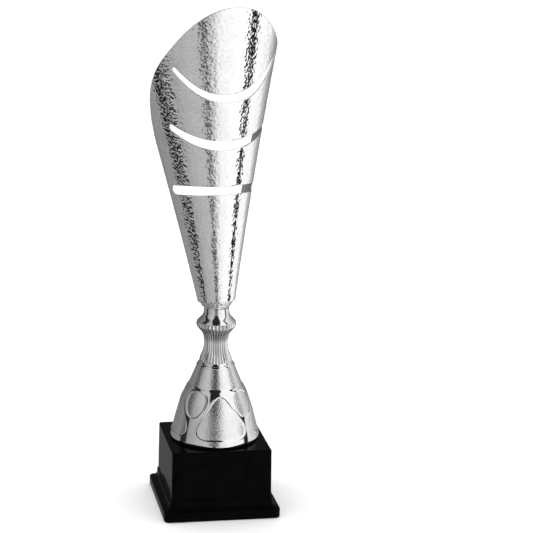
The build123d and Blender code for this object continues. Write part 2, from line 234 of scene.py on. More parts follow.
def upright(angle, radius, height):
    """Points about the world's Z axis. Angle 0 faces the front, and grows towards +X."""
    return np.stack([radius * np.sin(angle), -radius * np.cos(angle), height], 1)


cup_across = np.array([math.cos(cup_lean), 0, math.sin(cup_lean)])
cup_up = np.array([-math.sin(cup_lean), 0, math.cos(cup_lean)])
cup_front = np.array([0, -1.0, 0])
cup_origin = np.array([0, 0, cup_origin_height])


def tilted(angle, radius, height):
    """Points about the cup's own leaning axis."""
    out = np.sin(angle)[:, None] * cup_across + np.cos(angle)[:, None] * cup_front
    return cup_origin + height[:, None] * cup_up + radius[:, None] * out


# ---------------------------------------------------------------- materials
def new_material(name, color, metallic=0.0, roughness=0.5, **sockets):
    """A Principled material, with its nodes, its shader and its object coordinates."""
    material = bpy.data.materials.new(name)
    material.use_nodes = True
    nodes = material.node_tree.nodes
    shader = nodes["Principled BSDF"]
    shader.inputs["Base Color"].default_value = (*color, 1)
    shader.inputs["Metallic"].default_value = metallic
    shader.inputs["Roughness"].default_value = roughness
    for key, value in sockets.items():
        shader.inputs[key.replace("_", " ")].default_value = value
    place = nodes.new("ShaderNodeTexCoord")
    return material, nodes, material.node_tree.links, shader, place.outputs["Object"]


def noise_node(nodes, links, place, size, detail=2.0, stretch=(1, 1, 1)):
    """A noise texture whose features are about size millimetres."""
    mapping = nodes.new("ShaderNodeMapping")
    mapping.inputs["Scale"].default_value = stretch
    links.new(place, mapping.inputs["Vector"])
    texture = nodes.new("ShaderNodeTexNoise")
    texture.inputs["Scale"].default_value = 1 / (size * MM)
    texture.inputs["Detail"].default_value = detail
    links.new(mapping.outputs["Vector"], texture.inputs["Vector"])
    return texture.outputs["Fac"]


def map_range(nodes, links, value, low, high, to_low, to_high):
    """A value stretched from one range to another, and held at its ends."""
    node = nodes.new("ShaderNodeMapRange")
    for key, number in (("From Min", low), ("From Max", high), ("To Min", to_low), ("To Max", to_high)):
        node.inputs[key].default_value = number
    links.new(value, node.inputs["Value"])
    return node.outputs["Result"]


def blend_colors(nodes, links, value, low, high):
    """A colour that goes from low to high over the middle of a noise's range."""
    ramp = nodes.new("ShaderNodeValToRGB")
    ramp.color_ramp.elements[0].color = (*low, 1)
    ramp.color_ramp.elements[1].color = (*high, 1)
    ramp.color_ramp.elements[0].position = 0.3
    ramp.color_ramp.elements[1].position = 0.7
    links.new(value, ramp.inputs["Fac"])
    return ramp.outputs["Color"]


def add_bump(nodes, links, height, depth, normal=None):
    """A bump of depth millimetres where height is 1, over another bump's normal if there is one."""
    bump = nodes.new("ShaderNodeBump")
    bump.inputs["Distance"].default_value = depth * MM
    links.new(height, bump.inputs["Height"])
    if normal:
        links.new(normal, bump.inputs["Normal"])
    return bump.outputs["Normal"]


def metal(name, dark, light, smooth, rough, grain, grain_depth, patch=9.0, throat=None):
    """Bare or plated metal: colour and roughness vary in patches, with a fine grain.

    smooth and rough are the ends of its roughness, and patch, grain and grain_depth are millimetres.
    throat is a darker colour for the parts that the point attribute marks: painted shade and painted
    reflection in the hollows, not a darker finish.
    """
    material, nodes, links, shader, place = new_material(name, light, metallic=1.0)
    cloud = noise_node(nodes, links, place, patch, 4)
    color = blend_colors(nodes, links, cloud, dark, light)
    if throat:
        # Painted shade: the point attribute mixes the darker throat colour into the base colour by place.
        painted_shade = nodes.new("ShaderNodeAttribute")
        painted_shade.attribute_name = "painted_shade"
        shade = nodes.new("ShaderNodeMixRGB")
        shade.inputs["Color2"].default_value = (*throat, 1)
        links.new(painted_shade.outputs["Fac"], shade.inputs["Fac"])
        links.new(color, shade.inputs["Color1"])
        color = shade.outputs["Color"]
    links.new(color, shader.inputs["Base Color"])
    fine = noise_node(nodes, links, place, grain, 3)
    wear = noise_node(nodes, links, place, patch / 3, 5)
    links.new(map_range(nodes, links, wear, 0.35, 0.7, smooth, rough), shader.inputs["Roughness"])
    links.new(add_bump(nodes, links, fine, grain_depth), shader.inputs["Normal"])
    return material


def hammered_material():
    """Bright plate over hammered relief, with small dents between the modelled ones."""
    patch, dent, grain = 14, 1.7, 0.5
    dent_depth, grain_depth = 0.05, 0.012
    sheen = (0.86, 0.86, 0.87)
    material, nodes, links, shader, place = new_material("hammered_plate", sheen, metallic=1.0)
    cloud = noise_node(nodes, links, place, patch, 3)
    color = blend_colors(nodes, links, cloud, (0.83, 0.83, 0.84), (0.9, 0.9, 0.905))
    links.new(color, shader.inputs["Base Color"])
    wear = noise_node(nodes, links, place, 4, 4)
    links.new(map_range(nodes, links, wear, 0.35, 0.7, 0.04, 0.09), shader.inputs["Roughness"])
    cells = nodes.new("ShaderNodeTexVoronoi")
    cells.feature = "SMOOTH_F1"
    cells.inputs["Scale"].default_value = 1 / (dent * MM)
    cells.inputs["Smoothness"].default_value = 0.35
    links.new(place, cells.inputs["Vector"])
    dented = add_bump(nodes, links, cells.outputs["Distance"], -dent_depth)
    fine = noise_node(nodes, links, place, grain, 2)
    links.new(add_bump(nodes, links, fine, grain_depth, dented), shader.inputs["Normal"])
    return material


def bell_material():
    """Plate that is satin where the "satin" attribute is 1 and polished where it is 0."""
    grain, grain_depth = 1.1, 0.17
    polished, satin_smooth, satin_rough = 0.07, 0.2, 0.29
    sheen = (0.84, 0.84, 0.85)
    material, nodes, links, shader, place = new_material("satin_and_polish", sheen, metallic=1.0)
    satin = nodes.new("ShaderNodeAttribute")
    satin.attribute_name = "satin"
    cloud = noise_node(nodes, links, place, 6, 4)
    color = blend_colors(nodes, links, cloud, plate_shade, plate_shine)
    links.new(color, shader.inputs["Base Color"])
    mottle = noise_node(nodes, links, place, grain, 3)
    rough = map_range(nodes, links, mottle, 0.3, 0.7, satin_smooth, satin_rough)
    mix = nodes.new("ShaderNodeMix")
    mix.data_type = "FLOAT"
    mix.inputs["A"].default_value = polished
    links.new(satin.outputs["Fac"], mix.inputs["Factor"])
    links.new(rough, mix.inputs["B"])
    links.new(mix.outputs["Result"], shader.inputs["Roughness"])
    fine = noise_node(nodes, links, place, grain, 2)
    grained = nodes.new("ShaderNodeMath")
    grained.operation = "MULTIPLY"
    links.new(fine, grained.inputs[0])
    links.new(satin.outputs["Fac"], grained.inputs[1])
    links.new(add_bump(nodes, links, grained.outputs["Value"], grain_depth), shader.inputs["Normal"])
    return material


def plastic(name, color, light, smooth, rough, grain, grain_depth, **sockets):
    """Moulded plastic: faint mottling, hazy patches and a slight ripple."""
    ripple_size, ripple_depth = 16, 0.05
    material, nodes, links, shader, place = new_material(name, color, **sockets)
    cloud = noise_node(nodes, links, place, 11, 4)
    links.new(blend_colors(nodes, links, cloud, color, light), shader.inputs["Base Color"])
    haze = noise_node(nodes, links, place, 3.5, 5)
    links.new(map_range(nodes, links, haze, 0.35, 0.75, smooth, rough), shader.inputs["Roughness"])
    ripple = noise_node(nodes, links, place, ripple_size, 1)
    rippled = add_bump(nodes, links, ripple, ripple_depth)
    fine = noise_node(nodes, links, place, grain, 3)
    links.new(add_bump(nodes, links, fine, grain_depth, rippled), shader.inputs["Normal"])
    return material


def fibrous(name, dark, light, size, depth, **sockets):
    """Felt or cast mortar: a coarse matt surface."""
    material, nodes, links, shader, place = new_material(name, dark, roughness=0.95, **sockets)
    fibre = noise_node(nodes, links, place, size, 6, (1, 2.3, 1))
    links.new(blend_colors(nodes, links, fibre, dark, light), shader.inputs["Base Color"])
    links.new(map_range(nodes, links, fibre, 0.3, 0.7, 0.82, 0.98), shader.inputs["Roughness"])
    links.new(add_bump(nodes, links, fibre, depth), shader.inputs["Normal"])
    return material


plate_shade, plate_shine = (0.8, 0.8, 0.81), (0.88, 0.88, 0.885)
hammered = hammered_material()
bell_plate = bell_material()
bright_plate = metal(
    "bright_plate", plate_shade, plate_shine, smooth=0.05, rough=0.12, grain=0.6, grain_depth=0.006,
)
# The reeded plate's throat colour is painted shade and painted reflection, laid on by the stem's point
# attribute.
reeded_plate = metal(
    "reeded_plate", plate_shade, plate_shine, smooth=0.06, rough=0.13, grain=0.6, grain_depth=0.006,
    throat=(0.2, 0.2, 0.205),
)
zinc = metal(
    "zinc_steel", (0.42, 0.43, 0.45), (0.62, 0.63, 0.64), smooth=0.25, rough=0.45,
    grain=0.35, grain_depth=0.02, patch=4,
)
gloss_black = plastic(
    "gloss_black", (0.001, 0.001, 0.0011), (0.002, 0.002, 0.0022), smooth=0.06, rough=0.13,
    grain=0.8, grain_depth=0.003, Specular_IOR_Level=0.02,
)
cover_black = plastic(
    "cover_black", (0.012, 0.012, 0.013), (0.02, 0.02, 0.021), smooth=0.4, rough=0.55,
    grain=0.5, grain_depth=0.02,
)
insert_grey = plastic(
    "insert_grey", (0.10, 0.10, 0.105), (0.15, 0.15, 0.155), smooth=0.4, rough=0.55,
    grain=0.5, grain_depth=0.02,
)
felt = fibrous("felt", (0.012, 0.012, 0.013), (0.04, 0.04, 0.042), size=0.5, depth=0.15)
mortar = fibrous("cast_mortar", (0.22, 0.21, 0.2), (0.38, 0.37, 0.35), size=1.2, depth=0.2)


# ---------------------------------------------------------------- hammered cone
pebble_size = 2.8
pebble_mean = 0.62           # of what pebbles() gives
chart_angle = 0.2076         # sine of the cone's half angle, for laying it out flat


def cone_radius(height):
    """The sheet's outer radius at a height on the cup's own axis."""
    return cone_base_radius + cone_flare * height + cone_flare_growth * height**2


def to_chart(degrees, height):
    """The cone laid out flat, close to true size."""
    reach = cone_radius(height) / chart_angle
    turn = np.radians(degrees) * chart_angle
    return np.stack([reach * np.sin(turn), reach * np.cos(turn)], 1)


def from_chart(points):
    """(degrees, height) of points on the flat layout."""
    reach = np.hypot(points[:, 0], points[:, 1])
    degrees = np.degrees(np.arctan2(points[:, 0], points[:, 1]) / chart_angle)
    gained = reach * chart_angle - cone_base_radius
    root = np.sqrt(cone_flare**2 + 4 * cone_flare_growth * gained)
    return degrees, (root - cone_flare) / (2 * cone_flare_growth)


def pebbles(points, size):
    """Rounded bumps with creases between them, from 0 to 1."""
    bend_size, bend_depth, crispness = 3.1, 0.7, 2.4
    bend = np.stack([wander(points, bend_size, seed) for seed in (1, 2, 3)], 1)
    heights = np.empty(len(points))
    for i, p in enumerate(points + bend_depth * bend):
        near = noise.voronoi(Vector(p) / size)[0]
        heights[i] = near[1] - near[0]
    return 1 - np.exp(-crispness * heights)


def slot_loop(lower, upper, spacing):
    """Closed outline of a slot with rounded ends, on the flat layout, anticlockwise."""
    last = 2000
    t = (1 - np.cos(np.linspace(0, math.pi, 241))) / 2      # closer together towards the ends
    low = spline(lower, last + 1)[np.round(t * last).astype(int)]
    high = spline(upper, last + 1)[np.round(t * last).astype(int)]
    low = to_chart(low[:, 0], low[:, 1])
    high = to_chart(high[:, 0], high[:, 1])
    middle, half = (low + high) / 2, (high - low) / 2
    along = np.concatenate([[0], np.cumsum(np.linalg.norm(np.diff(middle, axis=0), axis=1))])
    width = np.linalg.norm(half, axis=1)
    near_left = np.clip(along / width[0], 0, 1)
    near_right = np.clip((along[-1] - along) / width[-1], 0, 1)
    share = np.sqrt(1 - (1 - near_left) ** 2) * np.sqrt(1 - (1 - near_right) ** 2)
    half = half * share[:, None]
    outline = np.vstack([middle - half, (middle + half)[-2:0:-1]])
    return resample(outline, spacing, closed=True)


def hammered_cone(outer_spacing, inner_spacing):
    """The sheet: a pebbled outside, the same relief inside, and rounded cut edges."""
    rim_step, foot_points, seam_points = 0.55, 161, 31
    row_pitch = 0.866            # between rows of the inner points, in spacings
    # The border on the flat layout, anticlockwise: foot, one side of the back seam, rim, other side.
    edge = spline(sheet_edge_points, 1500)
    edge_line = resample(to_chart(edge[:, 0], edge[:, 1]), rim_step)[::-1]
    foot_turns = np.linspace(-180, 180, foot_points)
    foot_line = to_chart(foot_turns, np.full(foot_points, cone_foot))
    seam_heights = np.linspace(cone_foot, edge[0, 1], seam_points)
    right_seam = to_chart(np.full(seam_points, 180.0), seam_heights)
    left_seam = to_chart(np.full(seam_points, -180.0), seam_heights[::-1])
    outer_loop = np.vstack([foot_line[:-1], right_seam[:-1], edge_line[:-1], left_seam[:-1]])
    seam_start = len(foot_line) - 1
    seam_end = seam_start + len(right_seam) - 1
    left_start = seam_end + len(edge_line) - 1
    slots = [slot_loop(lower, upper, rim_step) for lower, upper in slot_edges]
    loops = [outer_loop, *slots]
    border = np.vstack(loops)
    tree = kdtree.KDTree(len(border))
    for i, p in enumerate(border):
        tree.insert((p[0], p[1], 0), i)
    tree.balance()
    starts = np.concatenate([[0], np.cumsum([len(loop) for loop in loops])])

    def fill(spacing):
        """Border points and an even field of points inside, with the triangles between them."""
        low, high = border.min(0), border.max(0)
        columns = int((high[0] - low[0]) / spacing) + 1
        rows = int((high[1] - low[1]) / (spacing * row_pitch)) + 1
        i, j = np.meshgrid(np.arange(columns), np.arange(rows))
        across = low[0] + spacing * (i + 0.5 * (j % 2)).ravel()
        field = np.stack([across, low[1] + spacing * row_pitch * j.ravel()], 1)
        degrees, height = from_chart(field)
        below_rim = height < np.interp(degrees, edge[:, 0], edge[:, 1])
        field = field[(np.abs(degrees) < 179.9) & (height > cone_foot) & below_rim]
        for slot in slots:
            close = np.all((field > slot.min(0) - 1) & (field < slot.max(0) + 1), axis=1)
            inside = np.zeros(len(field), bool)
            inside[close] = signed_distance(field[close], slot) < 0
            field = field[~inside]
        clear = [tree.find((p[0], p[1], 0))[2] > 0.6 * min(spacing, 0.8) for p in field]
        field = field[np.array(clear)]
        flat = np.vstack([border, field])
        edges = []
        for a, b in zip(starts[:-1], starts[1:]):
            edges += [(k, k + 1 if k + 1 < b else a) for k in range(a, b)]
        _, _, found, origin, _, _ = delaunay_2d_cdt(
            [Vector(p) for p in flat], [(int(a), int(b)) for a, b in edges], [], 1, 1e-6
        )
        origin = np.array([ids[0] for ids in origin])
        triangles = origin[np.array(found)]
        in_border = (triangles < len(border)).all(axis=1)
        middles = flat[triangles].mean(axis=1)
        drop = np.zeros(len(triangles), bool)
        for slot in slots:
            drop[in_border] |= signed_distance(middles[in_border], slot) < 0
        return flat, triangles[~drop]

    def surface(flat, drop):
        """Points of the outside, or of the inside at drop below it, with the relief."""
        degrees, height = from_chart(flat)
        angle = np.radians(degrees)
        plain = tilted(angle, cone_radius(height), height)
        relief = 0.14 * (pebbles(plain, pebble_size) - pebble_mean)
        relief = relief + 0.06 * wander(plain, 2.3, 5) + 0.04 * wander(plain, 6.5, 4)
        relief *= smoothstep(cone_foot, cone_foot + 1.5, height)
        shown = 1 if drop == 0 else 0.8      # the relief is a little weaker on the inside
        return tilted(angle, cone_radius(height) - drop + relief * shown, height)

    outer_flat, outer_faces = fill(outer_spacing)
    inner_flat, inner_faces = fill(inner_spacing)
    outer = surface(outer_flat, 0.0)
    inner = surface(inner_flat, sheet_thickness)
    # Rounded edges: rows of points from each border point of the outside round to the inside.
    rim_rows, bulge = 4, 0.28
    rim_points, rim_faces = [], []
    base = len(outer) + len(inner)
    twin = np.arange(base)
    for k in range(1, len(right_seam) - 1):      # the seam at the back is welded
        a, b = seam_start + k, left_start + len(left_seam) - 1 - k
        twin[b] = a
        twin[len(outer) + b] = len(outer) + a
    twin[left_start], twin[len(outer) + left_start] = seam_end, len(outer) + seam_end
    twin[0], twin[len(outer)] = seam_start, len(outer) + seam_start
    count = 0
    for number, loop in enumerate(loops):
        ahead, behind = np.roll(loop, -1, axis=0), np.roll(loop, 1, axis=0)
        along = ahead - behind
        away = np.stack([along[:, 1], -along[:, 0]], 1) * (1 if number == 0 else -1)
        away /= np.linalg.norm(away, axis=1)[:, None]
        degrees, height = from_chart(loop)
        step_out = from_chart(loop + 0.01 * away)
        here = tilted(np.radians(degrees), cone_radius(height), height)
        there = tilted(np.radians(step_out[0]), cone_radius(step_out[1]), step_out[1])
        outward = (there - here) / np.linalg.norm(there - here, axis=1)[:, None]
        first = starts[number]
        ids = [[twin[first + k] for k in range(len(loop))]]
        for row in range(1, rim_rows):
            turn = math.pi * row / rim_rows
            o = outer[first : first + len(loop)]
            i = inner[first : first + len(loop)]
            ring = (o + i) / 2 + (o - i) / 2 * math.cos(turn) + outward * bulge * math.sin(turn)
            rim_points.append(ring)
            ids.append([base + count + k for k in range(len(loop))])
            count += len(loop)
        ids.append([twin[len(outer) + first + k] for k in range(len(loop))])
        for a, b in zip(ids[:-1], ids[1:]):
            for k in range(len(loop)):
                if number == 0 and (seam_start <= k < seam_end or k >= left_start):
                    continue
                n = (k + 1) % len(loop)
                quad = [a[k], b[k], b[n], a[n]]
                rim_faces.append(quad if number == 0 else quad[::-1])
    points = np.vstack([outer, inner, *rim_points])
    faces = twin[outer_faces].tolist() + twin[inner_faces + len(outer)][:, ::-1].tolist()
    return points, faces + rim_faces


def weld(points, faces):
    """Merges points that share a place and drops those that no face uses."""
    keys = np.round(np.asarray(points), 4)
    unique, back = np.unique(keys, axis=0, return_inverse=True)
    back = back.ravel()
    out = []
    for face in faces:
        ids = [int(back[i]) for i in face]
        ids = [v for n, v in enumerate(ids) if v != ids[n - 1]]
        if len(ids) > 2:
            out.append(ids)
    used = np.unique(np.concatenate([np.array(f) for f in out]))
    place = np.full(len(unique), -1)
    place[used] = np.arange(len(used))
    return unique[used], [[int(place[v]) for v in face] for face in out]


outer_spacing, inner_spacing = ((0.66, 1.0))
cone_points, cone_faces = weld(*hammered_cone(outer_spacing, inner_spacing))
make_piece("cup_sheet", cone_points, cone_faces, hammered, "cone_sheet")


# ---------------------------------------------------------------- cup socket
def ball_arc(reach, turns):
    """(radius, height) of an arc about the ball's centre, by turns from straight down."""
    return [(reach * math.sin(turn), ball_height - reach * math.cos(turn)) for turn in turns]


def socket_profile():
    """Closed profile of the dome: its outside, the spigot inside the sheet, and its hollow."""
    hole_turn = 0.26
    rim_turn = math.acos((ball_height - cone_foot) / ball_radius)
    turns = np.linspace(hole_turn, rim_turn, 30)
    spigot = cone_radius(spigot_top) - sheet_thickness - seat_gap
    lip = [(spigot, cone_foot + 0.3), (spigot, spigot_top), (spigot - socket_wall, spigot_top)]
    return ball_arc(ball_radius, turns) + lip + ball_arc(ball_radius - socket_wall, turns[::-3])


ball_relief = 0.45
ball_columns = 220
ball_profile = socket_profile()
angle, radius, height = turned(ball_profile, ball_columns)
plain = tilted(angle, radius, height)
outside = smoothstep(ball_radius - 0.3, ball_radius - 0.1, np.hypot(radius, height - ball_height))
above_seat = smoothstep(9.2, 10.2, radius)
relief = outside * above_seat * ball_relief * (pebbles(plain, pebble_size) - pebble_mean)
out_share, up_share = radius / ball_radius, (height - ball_height) / ball_radius
make_piece(
    "cup_foot_ball", tilted(angle, radius + relief * out_share, height + relief * up_share),
    ring_faces(len(ball_profile), ball_columns), hammered, "cup_socket",
)

# ---------------------------------------------------------------- neck collar
collar_columns = 160
ball_middle = cup_origin_height + ball_height * math.cos(cup_lean)
seat_reach = ball_radius + seat_gap
seat = [(r, ball_middle - math.sqrt(seat_reach**2 - r * r)) for r in np.linspace(9.0, rod_hole, 8)]
collar_edge = [(9.4, 152.9), (9.25, 153.15)]
collar_profile = [*map(tuple, spline(collar_line, 40)), *collar_edge, *seat, (rod_hole, stem_joint)]
angle, radius, height = turned(collar_profile, collar_columns)
make_piece(
    "neck_band", upright(angle, radius, height), ring_faces(len(collar_profile), collar_columns),
    bright_plate, "neck_collar",
)


# ---------------------------------------------------------------- fluted stem and its beaded ring
def shoulder_cut(height):
    """Share of the polished shoulder's slope that is cut away at a height, on the bell and the stem."""
    return smoothstep(108.6, 111.0, height) * smoothstep(114.5, 111.5, height)


bead_turn = math.radians(-2.2)
cut_depth = 0.6              # of the polished shoulder's slope
stem_columns = flute_count * 16
stem_profile = [*map(tuple, spline(stem_line, 150)), (rod_hole, stem_joint), (rod_hole, bell_joint)]
angle, radius, height = turned(stem_profile, stem_columns)
outside = radius > rod_hole + 1
# Flutes, a little deeper towards the ring, and beads round the ring with creases between them.
groove = (0.5 + 0.5 * np.cos(angle * flute_count)) ** 1.4
fluted = smoothstep(111.2, 113.2, height) * smoothstep(138.7, 137.8, height)
flute_relief = (0.6 + 0.1 * smoothstep(128, 134, height)) * groove * fluted
beads = np.abs(np.sin((angle - bead_turn) * rib_count / 2))
beaded = smoothstep(138.7, 139.5, height) * smoothstep(142.6, 141.8, height)
bead_relief = 0.9 * (1 - beads) ** 0.7 * beaded
foot_relief = 0.2 * smoothstep(111, 110, height) - cut_depth * shoulder_cut(height)
relief = np.where(outside, foot_relief - flute_relief - bead_relief, 0)
# Painted shade and painted reflection: the plate's colour is darkened in the throat under the ring,
# standing in for the ring's dark underside mirrored there, and in the flutes and between the beads,
# standing in for the shade in those creases.
throat_end = 127.5 + 2.5 * groove
throat = smoothstep(throat_end - 1.5, throat_end + 1.5, height) * smoothstep(139.6, 138.4, height)
painted_shade = 0.62 * throat + 0.35 * groove * fluted + 0.7 * (1 - beads) * beaded
painted_shade = np.where(outside, painted_shade, 0)
make_piece(
    "reeded_stem", upright(angle, radius + relief, height), ring_faces(len(stem_profile), stem_columns),
    # The point attribute carries this painted shade to the reeded plate's colour.
    reeded_plate, "fluted_stem", values={"painted_shade": painted_shade},
)

# ---------------------------------------------------------------- bell with its petals
bell_columns = 400
bell_outline = spline(bell_line, 1200)
bell_ceiling = bell_line[-2][1]
# Rows down the outside, closest together at the shoulder and at the foot of the satin band.
bell_heights = np.concatenate([
    np.arange(bell_joint, 107.8, -0.15), np.arange(107.7, 95.1, -0.35),
    np.arange(95.0, 92.1, -0.16), np.arange(92.0, 55.1, -0.29),
])
bell_radii = np.interp(bell_heights, bell_outline[:, 1], bell_outline[:, 0])
foot_curve = spline([bell_line[0], bell_foot_round, (bell_foot_radius, plinth_height)], 10)
inner_line = [(r - bell_wall, z) for r, z in bell_line[1:-1]]
inner_curve = spline([(bell_foot_radius - bell_wall, plinth_height), *inner_line], 14)
bell_profile = [
    (rod_hole, bell_joint), *zip(bell_radii, bell_heights), *map(tuple, foot_curve),
    *map(tuple, inner_curve), (tube_radius, bell_ceiling), (tube_radius, plinth_height),
    (rod_hole, plinth_height),
]
angle, radius, height = turned(bell_profile, bell_columns)
row = np.arange(len(radius)) // bell_columns
outside = (row >= 1) & (row <= len(bell_heights))
petal_pitch = 2 * math.pi / petal_count
far_off = 50.0
distance = np.full(len(radius), far_off)       # to the nearest petal's outline, negative inside it
for side, offset in ((big_petal, 0.0), (small_petal, 0.5)):
    shape = spline([*side, *[(-x, z) for x, z in side[-2:0:-1]]], 160, closed=True)
    local = (angle / petal_pitch - offset + 0.5) % 1 - 0.5
    flat = np.stack([radius * np.sin(local * petal_pitch), height], 1)
    distance = np.minimum(distance, np.where(outside, signed_distance(flat, shape), far_off))
# Recessed petals with a raised border, and a recessed satin band under the polished shoulder.
petal = smoothstep(0.3, -1.1, distance)
ridge = np.exp(-((distance - 0.15) / 0.42) ** 2)
band = smoothstep(92.4, 94.6, height) * smoothstep(108.9, 108.3, height)
relief = -0.42 * petal + 0.22 * ridge - 0.7 * band - cut_depth * shoulder_cut(height)
relief = np.where(outside, relief, 0)
satin = np.clip(smoothstep(-0.75, -1.2, distance) + smoothstep(94.4, 94.9, height), 0, 1)
satin = np.where(outside, satin * smoothstep(108.6, 108.2, height), 0)
bell_faces = [face[::-1] for face in ring_faces(len(bell_profile), bell_columns)]
make_piece(
    "bell", upright(angle, radius + relief, height), bell_faces,
    bell_plate, "bell_riser", values={"satin": satin},
)


# ---------------------------------------------------------------- plinth
def square_ring(width, corner, height, side_points=10, corner_points=9):
    """A rounded square, anticlockwise from above."""

    def round_corner(quarter):
        """Points round the corner of one quarter, from its first side to its second."""
        middle = math.radians(45 + 90 * quarter)
        x = (width / 2 - corner) * math.copysign(1, math.cos(middle))
        y = (width / 2 - corner) * math.copysign(1, math.sin(middle))
        turns = np.radians(90 * quarter + 90 * np.arange(corner_points) / (corner_points - 1))
        return np.stack([x + corner * np.cos(turns), y + corner * np.sin(turns)], 1)

    corners = [round_corner(quarter) for quarter in range(4)]
    shares = np.arange(1, side_points)[:, None] / side_points
    ring = []
    for here, following in zip(corners, corners[1:] + corners[:1]):
        side = here[-1] + (following[0] - here[-1]) * shares
        ring += [(x, y, height) for x, y in (*here, *side)]
    return ring


def rounded(width, top, foot, corner, size, steps=7):
    """Widths, corner radii and heights down a rounded top edge, to foot below it."""
    least_corner = 0.4
    rows = []
    for k in range(steps + 1):
        turn = math.radians(90 * k / steps)
        inset = size * (1 - math.sin(turn))
        drop = size * (1 - math.cos(turn))
        rows.append((width - 2 * inset, max(corner - inset, least_corner), top - drop))
    rows.append((width, corner, foot))
    return rows


def cove(steps=14):
    """Widths, corner radii and heights down the quarter hollow from the bead out to the rim."""
    bead_foot = bead_top - bead_height
    rows = []
    for k in range(steps + 1):
        turn = math.radians(90 * k / steps)
        width = bead_width + (cove_width - bead_width) * (1 - math.cos(turn))
        corner = bead_corner + (cove_corner - bead_corner) * k / steps
        rows.append((width, corner, bead_foot - (bead_foot - cove_foot) * math.sin(turn)))
    return rows


block_ceiling = plinth_height - plinth_wall
cavity_width = block_top_width - 2 * plinth_wall
cover_top = plinth_lift + recess_depth
top_rows = [(2 * rod_hole, rod_hole), (30, 10), (60, 4), (70, 1)]
plinth_rows = [(width, corner, plinth_height) for width, corner in top_rows]
plinth_rows += rounded(block_top_width, plinth_height, 48, block_corner, block_edge_round)
plinth_rows += [(75.0, block_corner, 30), (75.16, block_corner, 16.4), (75.3, block_corner, 15.5)]
plinth_rows += rounded(bead_width, bead_top, 14.2, bead_corner, 0.5, 4)
plinth_rows += cove()
plinth_rows += rounded(rim_width, cove_foot, 1.2, rim_corner, rim_edge_round)
plinth_rows += [(87.2, 3.9, 0.6), (86.6, 3.6, plinth_lift)]
# The recess for the cover, the hollow above it, and the boss round the rod.
plinth_rows += [(recess_width, recess_corner, plinth_lift), (recess_width, recess_corner, cover_top)]
plinth_rows += [(cavity_width, cavity_corner, cover_top), (cavity_width, cavity_corner, block_ceiling)]
plinth_rows += [(2 * boss_radius, boss_radius, block_ceiling), (2 * boss_radius, boss_radius, ballast_top)]
plinth_rows.append((2 * rod_hole, rod_hole, ballast_top))
rings = [square_ring(*row) for row in plinth_rows]
plinth_faces = [face[::-1] for face in ring_faces(len(rings), len(rings[0]))]
make_piece(
    "plinth", np.array(rings).reshape(-1, 3), plinth_faces,
    gloss_black, "plinth_shell",
)

# ---------------------------------------------------------------- materials of the CAD nodes that stay
finishes = {
    "felt_pad": felt, "bottom_cover": cover_black, "ballast_block": mortar, "cup_insert": insert_grey,
    "tie_rod": zinc, "lower_nut": zinc, "lower_washer": zinc, "lower_lock_washer": zinc,
    "upper_washer": zinc, "upper_lock_washer": zinc, "cap_nut": zinc,
}
for node, finish in finishes.items():
    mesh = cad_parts[node].data
    mesh.materials.clear()
    mesh.materials.append(finish)

# ---------------------------------------------------------------- floor, light and camera
floor_mesh = bpy.data.meshes.new("floor")
floor_reach = 30.0           # metres
floor_corners = [(x * floor_reach, y * floor_reach, 0) for x, y in ((-1, -1), (1, -1), (1, 1), (-1, 1))]
floor_mesh.from_pydata(floor_corners, [], [(0, 1, 2, 3)])
floor = bpy.data.objects.new("floor", floor_mesh)
bpy.context.scene.collection.objects.link(floor)
floor_material, *_ = new_material("floor", (0.93, 0.93, 0.93), roughness=0.9, Specular_IOR_Level=0.0)
floor_mesh.materials.append(floor_material)
floor.visible_glossy = False

# What the bright parts mirror: panels of light with dark gaps between them, in four tiers.
# Each entry is (degrees round from the camera, brightness).
camera_turn = -9.84
tiers = {
    "lowest": [
        (-180, 0.24), (-140, 0.28), (-115, 0.33), (-106, 0.38), (-104, 0.32), (-102, 0.01), (-87, 0.01),
        (-84, 0.38), (-45, 0.48), (-16, 0.5), (-8, 0.3), (2, 0.22), (8, 0.5), (14, 0.65), (22, 0.9),
        (40, 1.15), (60, 1.2), (76, 1.2), (79.5, 0.015), (92, 0.015), (95.5, 1.15), (125, 1.05),
        (143, 0.45), (180, 0.24),
    ],
    "low": [
        (-180, 0.24), (-140, 0.28), (-115, 0.33), (-106, 0.38), (-104, 0.32), (-102, 0.01), (-86, 0.01),
        (-83, 0.4), (-45, 0.48), (-12, 0.56), (-4.5, 0.42), (-2.5, 0.02), (2.5, 0.02), (4.5, 0.42),
        (10, 0.54), (14, 0.62), (22, 0.88), (40, 1.1), (60, 1.2), (77, 1.2), (80.5, 0.015), (91, 0.015),
        (94.5, 1.15), (125, 1.05), (143, 0.45), (180, 0.24),
    ],
    "middle": [
        (-180, 0.2), (-150, 0.14), (-120, 0.22), (-99, 0.3), (-95, 0.02), (-79, 0.02), (-74, 0.36),
        (-45, 0.5), (-18, 0.58), (-8, 0.2), (8, 0.2), (15, 0.8), (38, 1.05), (79, 1.1), (83, 0.02),
        (94, 0.02), (98, 0.95), (130, 0.5), (150, 0.25), (180, 0.2),
    ],
    "high": [
        (-180, 0.2), (-135, 0.16), (-112, 0.28), (-107, 0.02), (-86, 0.02), (-79, 0.38), (-45, 0.58),
        (-18, 0.62), (0, 0.7), (18, 0.95), (40, 1.12), (81, 1.12), (84, 0.02), (93, 0.02), (97, 1.0),
        (135, 0.5), (150, 0.25), (180, 0.2),
    ],
}
world = bpy.data.worlds.new("studio")
bpy.context.scene.world = world
world.use_nodes = True
nodes, links = world.node_tree.nodes, world.node_tree.links


